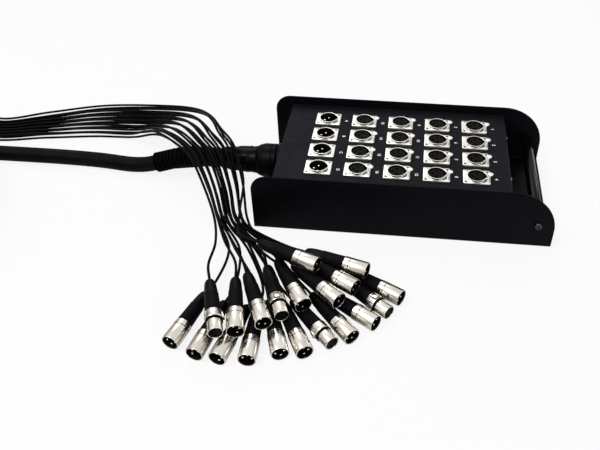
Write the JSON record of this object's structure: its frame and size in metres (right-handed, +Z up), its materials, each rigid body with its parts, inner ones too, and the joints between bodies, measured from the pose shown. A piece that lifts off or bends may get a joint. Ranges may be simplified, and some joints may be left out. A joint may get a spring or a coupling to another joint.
{
  "type": "stage box snake",
  "caption": "Steel stage box with panel connectors and a carry bar, on a coiled multicore lead that fans out into tails with cable plugs.",
  "frame": {"origin": "on the floor under the middle of the steel box", "axes": "+X towards the handle bar, along the box; +Y towards the rear cheek; +Z up"},
  "size_m": [1.0509, 0.5413, 0.0819],
  "materials": {
    "black_steel": "satin black powder coat",
    "black_panel": "satin black powder coat, a little greyer than the chassis",
    "black_rubber": "matt black cable jacket and moulded rubber",
    "black_plastic": "satin black plastic",
    "nickel": "warm satin nickel plate",
    "steel": "bright screw steel",
    "brass": "plain turned brass"
  },
  "bodies": {
    "root": {"chassis": "black_steel", "connector_panel": "black_panel", "inlet_a": "nickel", "inlet_b": "nickel", "inlet_c": "nickel", "inlet_d": "nickel", "handle_bar": "black_plastic", "handle_bolt_rear": "steel", "handle_bolt_front": "steel", "cable_gland": "black_plastic", "gland_nut": "black_plastic", "gland_locknut": "brass", "shrink_sleeve": "black_plastic", "inner_loom": "black_rubber", "bend_relief": "black_rubber", "multicore_lead": "black_rubber", "multicore_coil": "black_rubber", "multicore_end": "black_rubber", "fanout_tails": "black_rubber", "breakout_sleeve": "black_plastic", "male_plug_01": "nickel", "male_plug_03": "nickel", "male_plug_04": "nickel", "male_plug_06": "nickel", "male_plug_07": "nickel", "male_plug_08": "nickel", "male_plug_09": "nickel", "male_plug_10": "nickel", "male_plug_11": "nickel", "male_plug_13": "nickel", "male_plug_14": "nickel", "male_plug_16": "nickel", "male_plug_17": "nickel", "male_plug_18": "nickel", "male_plug_19": "nickel", "male_plug_20": "nickel", "female_plug_02": "nickel", "female_plug_05": "nickel", "female_plug_12": "nickel", "female_plug_15": "nickel"},
    "latch_01": {"latch_01": "nickel"},
    "latch_02": {"latch_02": "nickel"},
    "latch_03": {"latch_03": "nickel"},
    "latch_04": {"latch_04": "nickel"},
    "latch_05": {"latch_05": "nickel"},
    "latch_06": {"latch_06": "nickel"},
    "latch_07": {"latch_07": "nickel"},
    "latch_08": {"latch_08": "nickel"},
    "latch_09": {"latch_09": "nickel"},
    "latch_10": {"latch_10": "nickel"},
    "latch_11": {"latch_11": "nickel"},
    "latch_12": {"latch_12": "nickel"},
    "latch_13": {"latch_13": "nickel"},
    "latch_14": {"latch_14": "nickel"},
    "latch_15": {"latch_15": "nickel"},
    "latch_16": {"latch_16": "nickel"},
    "plug_button_02": {"plug_button_02": "nickel"},
    "plug_button_05": {"plug_button_05": "nickel"},
    "plug_button_12": {"plug_button_12": "nickel"},
    "plug_button_15": {"plug_button_15": "nickel"}
  },
  "joints": [
    {"name": "latch_01_press", "type": "slide", "parent": "root", "child": "latch_01", "axis": [0, 0, -1], "range_m": [0, 0.002], "stiffness_N_per_m": 300},
    {"name": "latch_02_press", "type": "slide", "parent": "root", "child": "latch_02", "axis": [0, 0, -1], "range_m": [0, 0.002], "stiffness_N_per_m": 300},
    {"name": "latch_03_press", "type": "slide", "parent": "root", "child": "latch_03", "axis": [0, 0, -1], "range_m": [0, 0.002], "stiffness_N_per_m": 300},
    {"name": "latch_04_press", "type": "slide", "parent": "root", "child": "latch_04", "axis": [0, 0, -1], "range_m": [0, 0.002], "stiffness_N_per_m": 300},
    {"name": "latch_05_press", "type": "slide", "parent": "root", "child": "latch_05", "axis": [0, 0, -1], "range_m": [0, 0.002], "stiffness_N_per_m": 300},
    {"name": "latch_06_press", "type": "slide", "parent": "root", "child": "latch_06", "axis": [0, 0, -1], "range_m": [0, 0.002], "stiffness_N_per_m": 300},
    {"name": "latch_07_press", "type": "slide", "parent": "root", "child": "latch_07", "axis": [0, 0, -1], "range_m": [0, 0.002], "stiffness_N_per_m": 300},
    {"name": "latch_08_press", "type": "slide", "parent": "root", "child": "latch_08", "axis": [0, 0, -1], "range_m": [0, 0.002], "stiffness_N_per_m": 300},
    {"name": "latch_09_press", "type": "slide", "parent": "root", "child": "latch_09", "axis": [0, 0, -1], "range_m": [0, 0.002], "stiffness_N_per_m": 300},
    {"name": "latch_10_press", "type": "slide", "parent": "root", "child": "latch_10", "axis": [0, 0, -1], "range_m": [0, 0.002], "stiffness_N_per_m": 300},
    {"name": "latch_11_press", "type": "slide", "parent": "root", "child": "latch_11", "axis": [0, 0, -1], "range_m": [0, 0.002], "stiffness_N_per_m": 300},
    {"name": "latch_12_press", "type": "slide", "parent": "root", "child": "latch_12", "axis": [0, 0, -1], "range_m": [0, 0.002], "stiffness_N_per_m": 300},
    {"name": "latch_13_press", "type": "slide", "parent": "root", "child": "latch_13", "axis": [0, 0, -1], "range_m": [0, 0.002], "stiffness_N_per_m": 300},
    {"name": "latch_14_press", "type": "slide", "parent": "root", "child": "latch_14", "axis": [0, 0, -1], "range_m": [0, 0.002], "stiffness_N_per_m": 300},
    {"name": "latch_15_press", "type": "slide", "parent": "root", "child": "latch_15", "axis": [0, 0, -1], "range_m": [0, 0.002], "stiffness_N_per_m": 300},
    {"name": "latch_16_press", "type": "slide", "parent": "root", "child": "latch_16", "axis": [0, 0, -1], "range_m": [0, 0.002], "stiffness_N_per_m": 300},
    {"name": "plug_button_02_press", "type": "slide", "parent": "root", "child": "plug_button_02", "axis": [-0.9511, -0.309, 0], "range_m": [0, 0.0013], "stiffness_N_per_m": 300},
    {"name": "plug_button_05_press", "type": "slide", "parent": "root", "child": "plug_button_05", "axis": [0, 0, -1], "range_m": [0, 0.0013], "stiffness_N_per_m": 300},
    {"name": "plug_button_12_press", "type": "slide", "parent": "root", "child": "plug_button_12", "axis": [0.7431, 0.6691, 0], "range_m": [0, 0.0013], "stiffness_N_per_m": 300},
    {"name": "plug_button_15_press", "type": "slide", "parent": "root", "child": "plug_button_15", "axis": [0, 0, -1], "range_m": [0, 0.0013], "stiffness_N_per_m": 300}
  ]
}
